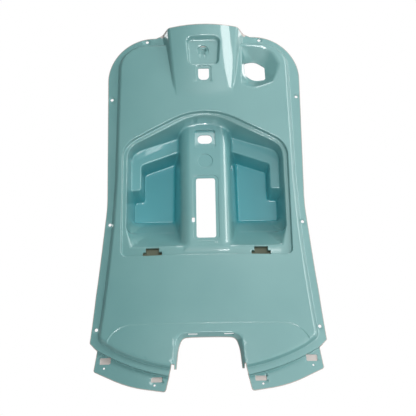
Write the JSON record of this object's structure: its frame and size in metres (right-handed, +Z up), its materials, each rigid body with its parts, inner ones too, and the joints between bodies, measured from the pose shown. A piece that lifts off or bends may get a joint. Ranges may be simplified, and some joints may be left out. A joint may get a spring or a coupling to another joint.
{
  "type": "scooter leg shield",
  "caption": "Curved moulded leg shield for a scooter with two open compartments, a column cowl, a lock funnel, a notched foot and screw holes round its rim.",
  "frame": {"origin": "midway between the two waist screws, half way through the rim's wall", "axes": "+Z up, -Y towards the rider, +X to the right as the rider's side is looked at"},
  "size_m": [0.4397, 0.1568, 0.7476],
  "materials": {
    "paint": "gloss"
  },
  "bodies": {
    "root": {"leg_shield": "paint"}
  },
  "joints": []
}
